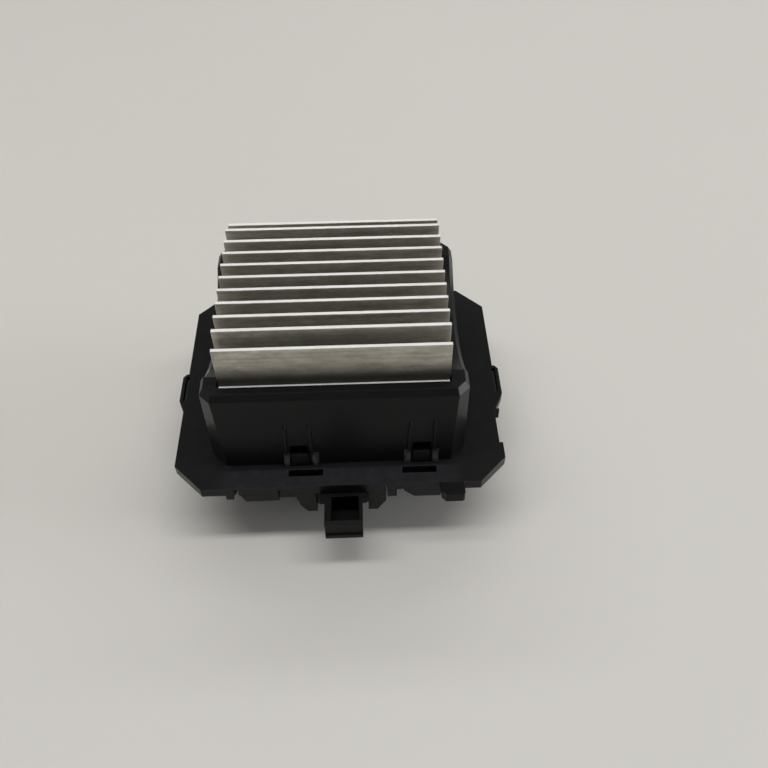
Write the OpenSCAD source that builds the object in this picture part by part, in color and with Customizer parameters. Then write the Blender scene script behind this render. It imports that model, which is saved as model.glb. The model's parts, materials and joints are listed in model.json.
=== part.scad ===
// Blower motor resistor: an aluminium fin block in a tall flanged collar.
// The circuit, its terminals and the connector sit in a clipped cover below.
// Z = 0 is the flange face that seats on the air duct, +Z points to the fin tips.
// X runs along the fins and the latch is on the -Y side. All sizes in mm.

/* [Heat sink] */

// Length of the extrusion along the fins
sink_length = 54; // [52:0.5:56]
// Distance from fin to fin
fin_pitch = 4.4; // [4.3:0.05:4.5]
// Fin thickness at the tip
fin_tip = 0.95; // [0.8:0.05:1.1]
// Fin thickness at the root
fin_root = 1.25; // [1.15:0.05:1.4]
// Foot bevel where a fin meets the plate
fin_foot = 0.5; // [0.2:0.1:0.8]
// Height of the tall fin tips above the flange face
fin_top = 37.8; // [36:0.2:40]
// How much lower the two outer fins end
outer_fin_drop = 1.8; // [1:0.1:3]
// Height of the plate surface between the fins
plate_top = 16.2; // [15.8:0.1:16.6]
// Thickness of the plate
plate_thickness = 3.6; // [3.4:0.1:4]
// Height of the lip surface on the outer fins
lip_top = 24.3; // [24:0.1:24.5]
// Thickness of each lip
lip_thickness = 1.3; // [1:0.1:1.6]
// How far each lip stands out
lip_reach = 0.9; // [0.7:0.1:1.1]
// Thickness of the web that carries the transistors
web_thickness = 4; // [3.5:0.1:4.5]
// Length of that web along the fins
web_length = 38; // [34:1:42]
// Depth of the web below the plate
web_drop = 15.4; // [15:0.1:15.8]

/* [Collar] */

// Height of the rim above the flange face
collar_height = 25.2; // [24.8:0.1:26]
// Wall at the rim on the two side walls
side_rim = 4.2; // [4:0.1:4.6]
// Wall at the rim on the front and back walls
front_rim = 3.1; // [3:0.1:3.5]
// Wall around the lower cavity
collar_wall = 2.4; // [2.2:0.1:2.6]
// How much wider the foot is than the rim at the front and back
collar_flare = 1.3; // [1.1:0.1:1.5]
// How much wider the foot is than the rim at the sides and corners
side_flare = 0.3; // [0.1:0.1:0.5]
// Leg of the corner chamfer at the rim
collar_corner = 2.6; // [2.2:0.1:3]
// Width of the bevel along the rim
bevel_width = 1; // [0.6:0.1:1.3]
// Height of the bevel along the rim
bevel_height = 1.8; // [1.2:0.1:2.2]
// Depth of the dip in the side walls
dip_depth = 8.4; // [7.8:0.1:8.6]
// Radius of the dip in the side walls
dip_radius = 29; // [27:0.5:30]
// Width of the edge bevel along the dip
dip_bevel = 0.9; // [0.5:0.1:1.2]
// Width of the ledge under the plate
ledge_width = 5; // [4.8:0.1:5.4]
// Thickness of the ledge under the plate
ledge_thickness = 2.4; // [2:0.1:2.6]

/* [Flange] */

// Width of the flange along the fins
flange_width = 83.8; // [82:0.2:86]
// Depth of the flange across the fins
flange_depth = 68.4; // [68:0.2:70]
// Thickness of the flange
flange_thickness = 3.2; // [3:0.1:3.5]
// Leg of the four corner cuts
flange_corner = 7.2; // [6:0.1:8]
// Sideways offset of the flange from the fins
flange_shift_x = 0.5; // [0:0.1:1]
// Front to back offset of the flange from the fins
flange_shift_y = -0.8; // [-1:0.1:-0.6]
// Width of the flat lug on the front edge
lug_width = 5.7; // [5:0.1:6.4]
// How far the lug stands out
lug_reach = 3.7; // [3:0.1:4.4]
// Distance of the lug centre from the fin centre
lug_center = 28; // [27.5:0.1:28.5]
// How far the side ears stand out
ear_reach = 1.5; // [1.4:0.1:1.8]
// Width of the slot in each ear
ear_slot = 1; // [0.95:0.05:1.1]
// Depth of the long relief in the right edge
edge_relief = 1.3; // [1.1:0.1:1.6]

/* [Clips] */

// Centre of the left front clip
clip_left = -9.7; // [-10.5:0.1:-9.6]
// Centre of the right front clip
clip_right = 20.6; // [20.2:0.1:20.8]
// Width of the snap arms at the flange face
arm_width = 4.8; // [4.6:0.1:5]
// Thickness of the snap arms
arm_thickness = 1; // [0.9:0.1:1.1]
// Height of the snap arms above the flange face
arm_top = 3.9; // [3.7:0.1:4.2]
// How far the nose of an arm stands out
nose_reach = 1.1; // [0.9:0.1:1.2]
// Width of the clip gussets at the flange face
gusset_width = 1.6; // [1.4:0.1:1.8]
// Reach of the clip gussets on the flange
gusset_reach = 0.6; // [0.5:0.1:0.8]
// Height of the clip gussets
gusset_height = 4.3; // [4:0.1:5]
// Height of the thin ribs above the gussets
rib_top = 15; // [14:0.2:17]
// Depth of the thin ribs
rib_depth = 0.7; // [0.5:0.1:0.9]
// Width of the slot in front of each clip
slot_width = 8.6; // [8.2:0.1:9]
// Depth of the slot in front of each clip
slot_depth = 1.9; // [1.7:0.1:2.1]

/* [Cover] */

// Thickness of the cover plate under the flange
cover_plate = 2.1; // [2:0.1:2.3]
// How far the cover plate stays inside the flange edge
cover_inset = 1.7; // [1.6:0.1:2]
// Wall of the tub
tub_wall = 1.8; // [1.6:0.1:2]
// Depth of the tub below the flange face
tub_depth = 17; // [16.6:0.1:17.6]
// Thickness of the tub floor
tub_floor = 2; // [1.8:0.1:2.2]
// Front of the tub, measured from the fin centre
tub_front = 22.3; // [22:0.1:22.6]
// Corner cut of the tub
tub_corner = 3; // [2:0.5:3.5]
// Depth of the front skirt below the flange face
skirt_depth = 6.1; // [5.6:0.1:6.6]
// Thickness of the skirt and the cheeks
skirt_wall = 1.9; // [1.8:0.1:2.2]
// Depth of the two cheeks below the flange face
cheek_depth = 11.6; // [10.5:0.1:12]
// Wall of the rim that fits inside the collar
upstand_wall = 1.2; // [1.1:0.1:1.3]
// Height of that rim above the cover plate
upstand_height = 2.3; // [1.8:0.1:2.5]

/* [Latch] */

// Centre of the latch along the fins
latch_center = 0.8; // [0.6:0.1:1]
// Width of the hollow latch head
head_width = 9.4; // [9:0.1:9.8]
// Height of the latch head
head_height = 7.3; // [6.8:0.1:7.6]
// Reach of the latch head in front of the flange
head_reach = 8.9; // [8.4:0.1:9.4]
// Front wall of the latch head
head_wall = 1; // [0.9:0.1:1.2]
// Left wall of the latch head
head_wall_left = 1.7; // [1.4:0.1:1.8]
// Right wall of the latch head
head_wall_right = 0.9; // [0.8:0.1:1.1]
// Floor of the latch head
head_floor = 0.9; // [0.8:0.1:1.2]
// Width of the latch arm
latch_arm_width = 11.6; // [11.2:0.1:12]
// Thickness of the latch arm
latch_arm = 1.8; // [1.6:0.1:2]
// Reach of the latch arm in front of the flange
latch_arm_reach = 2; // [1.6:0.1:2.4]

/* [Connector] */

// Inner width of the connector shroud
shroud_width = 30; // [29.4:0.1:30.6]
// Inner depth of the connector shroud
shroud_depth = 11; // [10.6:0.1:11.6]
// Wall of the connector shroud
shroud_wall = 1.6; // [1.4:0.1:1.8]
// Depth of the shroud mouth below the flange face
shroud_mouth = 21.6; // [21.2:0.1:22.4]
// Thickness of the terminal wall
terminal_wall = 1.6; // [1.4:0.1:1.7]
// Front to back position of the connector
shroud_y = 4; // [3:0.5:5]
// Width of the power blades
blade_width = 6.3; // [6:0.1:6.4]
// Width of the signal pins
pin_width = 2.8; // [2.6:0.1:2.9]
// Thickness of all terminals
terminal_thickness = 0.8; // [0.7:0.05:0.9]
// Bevel at the tip of all terminals
tip_bevel = 0.7; // [0.5:0.1:0.9]
// Thickness of the two skid ribs beside the connector
skid_wall = 1.6; // [1.4:0.1:1.8]

/* [Circuit] */

// Thickness of the circuit board
board_thickness = 1.6; // [1.5:0.1:1.7]
// Width of each transistor case
case_width = 10; // [9.8:0.1:10.2]
// Height of each transistor case
case_height = 9; // [8.8:0.1:9.2]
// Depth of each transistor case with its tab
case_depth = 4.4; // [4.2:0.1:4.6]
// Thickness of the metal tab
tab_thickness = 1.3; // [1.2:0.1:1.4]
// Distance of each transistor from the middle
case_offset = 9.6; // [9.4:0.1:9.8]
// Thickness of the thermal pads
pad_thickness = 0.4; // [0.3:0.05:0.5]
// Thickness of the clamp spring
spring_thickness = 0.8; // [0.7:0.1:0.9]
// Length of the shunt
shunt_length = 11; // [10:0.5:12]
// Width of the shunt strap
shunt_width = 3; // [2.6:0.2:3.4]
// Length of the thermal fuse case
fuse_length = 9; // [8:0.5:10]
// Radius of the thermal fuse case
fuse_radius = 1.9; // [1.7:0.1:2.1]
// Length of the chip resistors and capacitors
chip_length = 3.2; // [3:0.1:3.4]
// Radius of the capacitor
capacitor_radius = 5; // [4.8:0.1:5.2]
// Height of the capacitor
capacitor_height = 12; // [11.5:0.1:12.4]
// Thickness of the seal ring
seal_thickness = 0.8; // [0.7:0.1:0.9]

/* [Screws] */

// Shank radius of the heat sink and clamp screws
sink_screw_radius = 1.4; // [1.3:0.05:1.5]
// Shank radius of the board screws
board_screw_radius = 0.95; // [0.9:0.05:1]
// Head radius of all screws
screw_head_radius = 2.4; // [2.3:0.1:2.5]
// Head height of all screws
screw_head_height = 1.7; // [1.5:0.1:1.8]

/* [Clearances] */

// Gap between the heat sink and the collar
sink_fit = 0.3; // [0.25:0.05:0.35]
// Gap between the cover rim and the collar
rim_fit = 0.25; // [0.2:0.05:0.3]
// Gap around the board
board_fit = 0.4; // [0.3:0.05:0.5]
// Gap around terminals and legs in their holes
terminal_fit = 0.05; // [0.05:0.01:0.08]
// Gap around screw shanks in their bores
screw_fit = 0.05; // [0.05:0.01:0.08]
// Gap around screw shanks in clearance holes
hole_fit = 0.3; // [0.25:0.05:0.35]
// Gap around the snap arms
arm_fit = 0.3; // [0.25:0.05:0.35]
// Gap between the latch and the flange
latch_fit = 0.3; // [0.2:0.05:0.4]

/* [Hidden] */

cut = 1;
reach = 200;
inner_fins = 9;

// Heat sink
outer_fin_y = (inner_fins + 1) / 2 * fin_pitch;
sink_y = outer_fin_y + fin_root / 2;
lip_y = sink_y + lip_reach;
plate_bottom = plate_top - plate_thickness;
web_bottom = plate_bottom - web_drop;

// Collar
collar_x = sink_length / 2 + sink_fit + side_rim;
collar_y = lip_y + sink_fit + front_rim;
collar_diagonal = (collar_x + collar_y - collar_corner) / sqrt(2);
cavity_x = collar_x - collar_wall;
cavity_y = collar_y - collar_wall;
ledge_top = plate_bottom - seal_thickness;
ledge_bottom = ledge_top - ledge_thickness;
ledge_x = sink_length / 2 + sink_fit - ledge_width;
ledge_y = sink_y + sink_fit - ledge_width;
dip_axis_z = collar_height - dip_depth + dip_radius;
foot_y = collar_y + collar_flare;

// Flange
flange_right = flange_shift_x + flange_width / 2;
flange_left = flange_shift_x - flange_width / 2;
flange_front = flange_shift_y - flange_depth / 2;
ear_rear = 2.8;
ear_front_right = -7.2;
ear_front_left = -6.6;
ear_taper_right = 3.4;
ear_taper_left = 3.5;
ear_slot_rear = 1.9;
ear_slot_front = -6.6;
ear_slot_inside = 0.4;
relief_rear = -13.2;
relief_front = -23.5;
relief_shallow = 0.4;
relief_tooth = -12.4;
relief_slant = 0.9;
lug_corner_left = 1.1;
lug_corner_right = 0.4;
notch_x = [-26.1, -25.1];
slit_x = [11.55, 11.9];
notch_skin = 0.7;
notch_depth = 4;
recess_left = [-15.3, -12];
recess_right = [14.2, 15.9];
recess_skin = 1.5;
recess_depth = 2.2;

// Clips
arm_y = foot_y + 0.1;
channel_y = arm_y - arm_thickness - arm_fit;
pocket_wall_y = channel_y - nose_reach;
pocket_bottom = arm_top - 2.3;
pocket_top = arm_top + 3.2;
catch_bottom = -0.6;
clip_taper = 0.085;
gusset_step = 1.2;
gusset_top_width = 1.25;
thin_rib = 0.7;
slot_left = -8.4;
slot_right = 20;
slot_y = foot_y + 1.8;

// Cover
plate_z = -flange_thickness - cover_plate;
upstand_x = cavity_x - rim_fit;
upstand_y = cavity_y - rim_fit;
tub_x = upstand_x - upstand_wall;
tub_back = upstand_y - upstand_wall;
tub_inner_front = tub_front - tub_wall;
floor_z = -tub_depth;
skirt_left = [-24.8, -15.3];
skirt_right = [15.9, 25.3];
skirt_slant = 1.1;
skirt_slant_right = 2.7;
nub_x = [-28.5, -26.6];
rib_wall = 1.4;
gusset_drop = 7;
side_gusset = 7;

// Latch
head_top = -flange_thickness - latch_fit;
head_front = flange_front - head_reach;
head_back = flange_front + 0.4;
head_bevel = 0.5;
head_slope = 0.4;
pad_top = 1.1;
pad_bottom = 5;
pad_depth = 0.35;
cheek_left = latch_center - latch_arm_width / 2 - 1.1;
cheek_right = latch_center + latch_arm_width / 2 + 0.4;
latch_wall_y = flange_front + 2.2;
latch_wall = 1.6;

// Circuit
board_top = plate_z;
board_bottom = board_top - board_thickness;
board_x = tub_x - board_fit;
board_front = tub_inner_front - board_fit;
board_back = tub_back - board_fit;
board_corner = 1.5;
post_radius = 2.5;
post_x = board_x - post_radius;
post_back = board_back - post_radius - 1;
post_front = board_front - post_radius - 1;
post_depth = 6.8;
post_rib = 1.4;

// Connector
terminal_top = board_bottom - 2;
terminal_bottom = terminal_top - terminal_wall;
blade_x = [-10.6, -1.4];
pin_x = [6.2, 11.4];
blade_tip = shroud_mouth - 1.8;
shoulder_height = 1.1;
tail_width = 1.5;
key_size = 0.8;
key_x = 2.9;
skid_x = 22.6;
skid_front = 14;
skid_back = 18;

// Transistors
tab_back = web_thickness / 2 + pad_thickness;
tab_front = tab_back + tab_thickness;
case_front = tab_back + case_depth;
case_bottom = web_bottom - 0.2;
case_back = tab_back + 0.5;
tab_top = plate_bottom - 0.5;
leg_pitch = 2.54;
leg_width = 0.9;
leg_depth = 0.6;
leg_y = tab_back + 2.5;
leg_bottom = board_bottom - 1.2;
clamp_z = 8.2;
clamp_half = 3.4;
clamp_step_z = 4.2;
clamp_bar_z = 0.6;
clamp_bar_half = 13;
clamp_top_z = 11;

function wall_y(z) = collar_y
    + collar_flare * (1 - z / (collar_height - bevel_height));

// Half width between the two gussets of a clip
function clip_half(z) = arm_width / 2 + arm_fit - clip_taper * z;

module x_prism(length) {
    rotate([90, 0, 90])
        linear_extrude(height = length, center = true)
            children();
}

module y_prism(length) {
    rotate([90, 0, 0])
        linear_extrude(height = length, center = true)
            children();
}

// Box from two corners
module span(low, high) {
    translate(low)
        cube(high - low);
}

module cut_corners(x0, x1, y0, y1, c) {
    polygon([
        [x0 + c, y0], [x1 - c, y0], [x1, y0 + c], [x1, y1 - c],
        [x1 - c, y1], [x0 + c, y1], [x0, y1 - c], [x0, y0 + c]]);
}

// Heat sink extrusion

module fin_profile(height) {
    polygon([
        [-fin_root / 2 - fin_foot, -cut], [-fin_root / 2 - fin_foot, 0],
        [-fin_root / 2, fin_foot], [-fin_tip / 2, height],
        [fin_tip / 2, height], [fin_root / 2, fin_foot],
        [fin_root / 2 + fin_foot, 0], [fin_root / 2 + fin_foot, -cut]]);
}

module outer_fin_profile() {
    top = fin_top - outer_fin_drop;
    polygon([
        [outer_fin_y - fin_root / 2 - fin_foot, plate_top - cut],
        [outer_fin_y - fin_root / 2 - fin_foot, plate_top],
        [outer_fin_y - fin_root / 2, plate_top + fin_foot],
        [outer_fin_y - fin_tip / 2, top],
        [outer_fin_y + fin_tip / 2, top],
        [sink_y, lip_top + fin_foot],
        [sink_y, lip_top],
        [lip_y, lip_top],
        [lip_y, lip_top - lip_thickness],
        [sink_y, lip_top - lip_thickness],
        [sink_y, plate_top - cut]]);
}

module sink_profile() {
    translate([-sink_y, plate_bottom])
        square([2 * sink_y, plate_thickness]);
    for (i = [0 : inner_fins - 1])
        translate([(i - (inner_fins - 1) / 2) * fin_pitch, plate_top])
            fin_profile(fin_top - plate_top);
    outer_fin_profile();
    mirror([1, 0])
        outer_fin_profile();
}

module sink_screw_spots() {
    for (x = [-1, 1], y = [-1, 1])
        translate([x * (ledge_x + ledge_width / 2 - sink_fit / 2), y * 9, 0])
            children();
}

module heatsink() {
    color("silver")
    difference() {
        union() {
            x_prism(sink_length)
                sink_profile();
            span([-web_length / 2, -web_thickness / 2, web_bottom],
                [web_length / 2, web_thickness / 2, plate_bottom + cut]);
        }
        sink_screw_spots()
            translate([0, 0, plate_bottom - cut])
                cylinder(r = sink_screw_radius + screw_fit,
                    h = plate_thickness - 0.7 + cut, $fn = 32);
        translate([0, 0, clamp_z])
            rotate([90, 0, 0])
                cylinder(r = sink_screw_radius + screw_fit,
                    h = web_thickness + 2 * cut, center = true, $fn = 32);
    }
}

module heatsink_seal() {
    color("dimgray")
    difference() {
        span([-sink_length / 2, -sink_y, ledge_top], [sink_length / 2, sink_y, plate_bottom]);
        span([-ledge_x, -ledge_y, ledge_top - cut], [ledge_x, ledge_y, plate_bottom + cut]);
        sink_screw_spots()
            translate([0, 0, ledge_top - cut])
                cylinder(r = sink_screw_radius + hole_fit, h = seal_thickness + 2 * cut, $fn = 32);
    }
}

// Screw along +Z with its head below z = 0
module screw(shank_radius, shank_length) {
    difference() {
        union() {
            cylinder(r = shank_radius, h = shank_length, $fn = 32);
            translate([0, 0, -screw_head_height])
                cylinder(r = screw_head_radius, h = screw_head_height, $fn = 32);
        }
        for (a = [0, 90])
            rotate([0, 0, a])
                translate([-1.4, -0.35, -screw_head_height - cut])
                    cube([2.8, 0.7, cut + 0.9]);
    }
}

module heatsink_screws() {
    color("gainsboro")
    sink_screw_spots()
        translate([0, 0, ledge_bottom])
            screw(sink_screw_radius, ledge_thickness + seal_thickness + plate_thickness - 1.2);
}

// Frame: collar and flange in one moulding

module collar_profile(half, flare) {
    polygon([
        [-half - flare, 0], [half + flare, 0],
        [half, collar_height - bevel_height],
        [half - bevel_width, collar_height],
        [bevel_width - half, collar_height],
        [-half, collar_height - bevel_height]]);
}

module collar_block() {
    intersection() {
        x_prism(reach)
            collar_profile(collar_y, collar_flare);
        y_prism(reach)
            collar_profile(collar_x, side_flare);
        rotate([0, 0, 45])
            x_prism(reach)
                collar_profile(collar_diagonal, side_flare);
        rotate([0, 0, -45])
            x_prism(reach)
                collar_profile(collar_diagonal, side_flare);
    }
}

module side_dip() {
    translate([0, 0, dip_axis_z])
        rotate([0, 90, 0]) {
            cylinder(r = dip_radius, h = reach, center = true, $fn = 96);
            for (s = [0, 1])
                mirror([0, 0, s])
                    translate([0, 0, collar_x - dip_bevel - 0.1])
                        cylinder(r1 = dip_radius - 0.1, r2 = dip_radius + 3 * dip_bevel,
                            h = 3 * dip_bevel + 0.1, $fn = 96);
        }
}

module flange_outline() {
    difference() {
        translate([flange_shift_x, flange_shift_y])
            cut_corners(-flange_width / 2, flange_width / 2,
                -flange_depth / 2, flange_depth / 2, flange_corner);
        translate([flange_right - edge_relief, relief_front])
            square([reach, relief_rear - relief_front]);
        translate([flange_right - relief_shallow, -reach])
            square([reach, reach + relief_front + cut]);
        polygon([
            [flange_right, ear_front_right - ear_taper_right],
            [flange_right - relief_slant, relief_tooth],
            [flange_right + cut, relief_tooth],
            [flange_right + cut, ear_front_right - ear_taper_right]]);
    }
    polygon([
        [lug_center - lug_width / 2, flange_front + cut],
        [lug_center - lug_width / 2, flange_front - lug_reach + lug_corner_left],
        [lug_center - lug_width / 2 + lug_corner_left, flange_front - lug_reach],
        [lug_center + lug_width / 2 - lug_corner_right, flange_front - lug_reach],
        [lug_center + lug_width / 2, flange_front - lug_reach + lug_corner_right],
        [lug_center + lug_width / 2, flange_front + cut]]);
    ear_outline(flange_right, 1, ear_front_right, ear_taper_right);
    ear_outline(flange_left, -1, ear_front_left, ear_taper_left);
}

module ear_outline(edge, side, front, taper) {
    polygon([
        [edge - side * cut, ear_rear],
        [edge + side * (ear_reach - 0.9), ear_rear],
        [edge + side * ear_reach, ear_rear - 1.1],
        [edge + side * ear_reach, front],
        [edge, front - taper],
        [edge - side * cut, front - taper]]);
}

module ear_slots() {
    for (edge = [[flange_right, 1], [flange_left, -1]])
        translate([edge[0] + edge[1] * (ear_slot / 2 - ear_slot_inside),
            (ear_slot_rear + ear_slot_front) / 2, -flange_thickness / 2])
            cube([ear_slot, ear_slot_rear - ear_slot_front, flange_thickness + 2 * cut],
                center = true);
}

module clip_spots() {
    for (turn = [0, 180], x = [clip_left, clip_right])
        rotate([0, 0, turn])
            translate([x, 0, 0])
                children();
}

module gusset_front(side) {
    polygon([
        [side * clip_half(0), -cut / 2],
        [side * clip_half(0), 0],
        [side * clip_half(gusset_height), gusset_height],
        [side * (clip_half(gusset_height) + gusset_top_width), gusset_height],
        [side * (clip_half(0) + gusset_width), 0],
        [side * (clip_half(0) + gusset_width), -cut / 2]]);
}

module thin_rib_front(side) {
    outer = clip_half(gusset_height) + gusset_top_width;
    polygon([
        [side * (outer - thin_rib), gusset_height - cut],
        [side * (outer - thin_rib - 0.3), rib_top],
        [side * (outer - 0.3), rib_top],
        [side * outer, gusset_height - cut]]);
}

module clip_ribs() {
    inside = cut - cavity_y - collar_wall;
    for (side = [-1, 1]) {
        intersection() {
            x_prism(reach)
                polygon([
                    [-foot_y - gusset_reach, -cut / 2],
                    [-foot_y - gusset_reach, gusset_step],
                    [-wall_y(gusset_height), gusset_height],
                    [inside, gusset_height], [inside, -cut / 2]]);
            y_prism(reach)
                gusset_front(side);
        }
        intersection() {
            x_prism(reach)
                polygon([
                    [-wall_y(0) - rib_depth, 0],
                    [-wall_y(rib_top - 1) - rib_depth, rib_top - 1],
                    [-wall_y(rib_top), rib_top],
                    [inside, rib_top], [inside, 0]]);
            y_prism(reach)
                thin_rib_front(side);
        }
    }
}

// Way in for an arm, its channel and the pocket that its nose snaps into
module clip_cuts() {
    top = pocket_top + cut;
    intersection() {
        x_prism(reach)
            polygon([
                [-foot_y - gusset_reach, -flange_thickness - cut],
                [-pocket_wall_y, -flange_thickness - cut],
                [-pocket_wall_y, catch_bottom], [-channel_y, catch_bottom],
                [-channel_y, pocket_bottom], [-pocket_wall_y, pocket_bottom],
                [-pocket_wall_y, pocket_top], [-reach / 2, pocket_top],
                [-reach / 2, 0], [-foot_y - gusset_reach, 0]]);
        y_prism(2 * reach)
            polygon([
                [-clip_half(-reach), -reach], [clip_half(-reach), -reach],
                [clip_half(top), top], [-clip_half(top), top]]);
    }
}

module flange_slots() {
    for (turn = [0, 180], x = [slot_left, slot_right])
        rotate([0, 0, turn])
            span([x - slot_width / 2, -slot_y - slot_depth, -flange_thickness - cut],
                [x + slot_width / 2, -slot_y, cut]);
}

// Narrow cuts in the front edge that go on through the cover plate
module edge_notches() {
    for (x = [notch_x, slit_x])
        span([x[0], flange_front - cut, -reach],
            [x[1], flange_front + notch_depth, -notch_skin]);
}

module edge_recesses() {
    for (x = [recess_left, recess_right])
        span([x[0], flange_front - cut, -flange_thickness - cut],
            [x[1], flange_front + recess_depth, -recess_skin]);
}

module post_spots() {
    for (s = [-1, 1]) {
        translate([s * post_x, post_back, 0])
            children();
        translate([s * post_x, -post_front, 0])
            children();
    }
}

module board_posts() {
    post_spots()
        translate([0, 0, board_top])
            cylinder(r = post_radius, h = ledge_bottom - board_top + cut, $fn = 40);
    for (s = [-1, 1], y = [post_back, -post_front])
        translate([s * (post_x + cavity_x + cut) / 2, y, (ledge_bottom + cut + 1) / 2])
            cube([cavity_x + cut - post_x, post_rib, ledge_bottom + cut - 1], center = true);
}

module frame() {
    color([0.07, 0.07, 0.08])
    difference() {
        union() {
            difference() {
                union() {
                    collar_block();
                    translate([0, 0, -flange_thickness])
                        linear_extrude(height = flange_thickness)
                            flange_outline();
                    clip_spots()
                        clip_ribs();
                }
                // seat of the fin block, then of its lips
                span([-sink_length / 2 - sink_fit, -sink_y - sink_fit, ledge_top],
                    [sink_length / 2 + sink_fit, sink_y + sink_fit, reach]);
                span([-sink_length / 2 - sink_fit, -lip_y - sink_fit, lip_top - lip_thickness],
                    [sink_length / 2 + sink_fit, lip_y + sink_fit, reach]);
                // opening inside the ledge
                span([-ledge_x, -ledge_y, -reach], [ledge_x, ledge_y, reach]);
                // lower cavity
                span([-cavity_x, -cavity_y, -reach], [cavity_x, cavity_y, ledge_bottom]);
                side_dip();
            }
            board_posts();
        }
        clip_spots()
            clip_cuts();
        ear_slots();
        flange_slots();
        edge_notches();
        edge_recesses();
        post_spots()
            translate([0, 0, board_top - cut])
                cylinder(r = board_screw_radius + screw_fit, h = post_depth + cut, $fn = 32);
        sink_screw_spots()
            translate([0, 0, ledge_bottom - cut])
                cylinder(r = sink_screw_radius + hole_fit,
                    h = ledge_thickness + 2 * cut, $fn = 32);
    }
}

// Cover with the connector shroud and the latch

module cover_outline() {
    translate([flange_shift_x, flange_shift_y])
        cut_corners(-flange_width / 2 + cover_inset, flange_width / 2 - cover_inset,
            -flange_depth / 2 + cover_inset, flange_depth / 2 - cover_inset, flange_corner);
}

module tongue_plates() {
    for (edge = [[flange_right, 1], [flange_left, -1]]) {
        x0 = edge[0] - edge[1] * (cover_inset + cut);
        x1 = edge[0] + edge[1] * (ear_slot - ear_slot_inside);
        tongue = edge[0] + edge[1] * (ear_slot / 2 - ear_slot_inside);
        span([min(x0, x1), ear_slot_front + arm_fit, plate_z],
            [max(x0, x1), ear_slot_rear - arm_fit, -flange_thickness]);
        translate([tongue, (ear_slot_rear + ear_slot_front) / 2, -flange_thickness])
            cube([ear_slot - arm_fit, ear_slot_rear - ear_slot_front - 2 * arm_fit,
                2 * (flange_thickness - 0.8)], center = true);
    }
}

module snap_arm() {
    inner_y = arm_thickness - arm_y;
    intersection() {
        x_prism(reach)
            polygon([
                [-arm_y, plate_z],
                [inner_y, plate_z],
                [inner_y, pocket_bottom + 0.3],
                [inner_y + nose_reach, pocket_bottom + 0.3],
                [inner_y + nose_reach, pocket_bottom + 0.8],
                [inner_y, arm_top],
                [-arm_y, arm_top]]);
        y_prism(reach)
            polygon([
                [arm_fit - clip_half(plate_z), plate_z], [clip_half(plate_z) - arm_fit, plate_z],
                [clip_half(arm_top) - arm_fit, arm_top], [arm_fit - clip_half(arm_top), arm_top]]);
    }
}

module tub_box(x, front, back, z0, z1, c) {
    translate([0, 0, z0])
        linear_extrude(height = z1 - z0)
            cut_corners(-x, x, -front, back, c);
}

module cover_gussets() {
    for (s = [0, 1])
        mirror([s, 0, 0])
            for (y = [-13, 0, 13])
                translate([0, y, 0])
                    y_prism(rib_wall)
                        polygon([
                            [tub_x + tub_wall / 2, plate_z + cut],
                            [tub_x + tub_wall + side_gusset, plate_z + cut],
                            [tub_x + tub_wall + side_gusset, plate_z],
                            [tub_x + tub_wall, plate_z - gusset_drop],
                            [tub_x + tub_wall / 2, plate_z - gusset_drop]]);
    for (x = [-14, 0, 14])
        translate([x, 0, 0]) {
            x_prism(rib_wall)
                polygon([
                    [-tub_front + tub_wall / 2, plate_z + cut],
                    [-tub_front - side_gusset, plate_z + cut],
                    [-tub_front - side_gusset, plate_z],
                    [-tub_front, plate_z - gusset_drop],
                    [-tub_front + tub_wall / 2, plate_z - gusset_drop]]);
            x_prism(rib_wall)
                polygon([
                    [tub_back + tub_wall / 2, plate_z + cut],
                    [tub_back + tub_wall + side_gusset - 2, plate_z + cut],
                    [tub_back + tub_wall + side_gusset - 2, plate_z],
                    [tub_back + tub_wall, plate_z - gusset_drop],
                    [tub_back + tub_wall / 2, plate_z - gusset_drop]]);
        }
}

module front_wall(points) {
    translate([0, flange_front + skirt_wall / 2, 0])
        y_prism(skirt_wall)
            polygon(points);
}

module skirts() {
    under = -flange_thickness;
    front_wall([
        [skirt_left[0], under], [skirt_left[1], under],
        [skirt_left[1], -skirt_depth], [skirt_left[0] + skirt_slant, -skirt_depth]]);
    front_wall([
        [skirt_right[0], under], [skirt_right[1], under],
        [skirt_right[1], -skirt_depth], [skirt_right[0] + skirt_slant_right, -skirt_depth]]);
    // small lug beside the notch
    span([nub_x[0], flange_front + 0.2, plate_z], [nub_x[1], flange_front + cover_inset + cut, under]);
}

module cheeks() {
    under = -flange_thickness;
    front_wall([
        [cheek_left, under], [cheek_left, -cheek_depth], [cheek_left - 2.4, -cheek_depth],
        [cheek_left - 4, -9], [cheek_left - 5.3, under]]);
    front_wall([
        [cheek_right, under], [cheek_right, -cheek_depth], [cheek_right + 2.3, -cheek_depth],
        [cheek_right + 3.5, -9.4], [slit_x[0], -7.6], [slit_x[0], under]]);
    // block beside the right cheek
    front_wall([
        [slit_x[1], under], [recess_right[0], under],
        [recess_right[0], -5.8], [slit_x[1], -5.8]]);
    // wall behind the latch
    span([cheek_left - 1, latch_wall_y, -cheek_depth],
        [cheek_right + 1, latch_wall_y + latch_wall, plate_z + cut]);
    span([skirt_left[1] - 1, latch_wall_y, -skirt_depth - 2],
        [cheek_left, latch_wall_y + latch_wall, plate_z + cut]);
}

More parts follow.
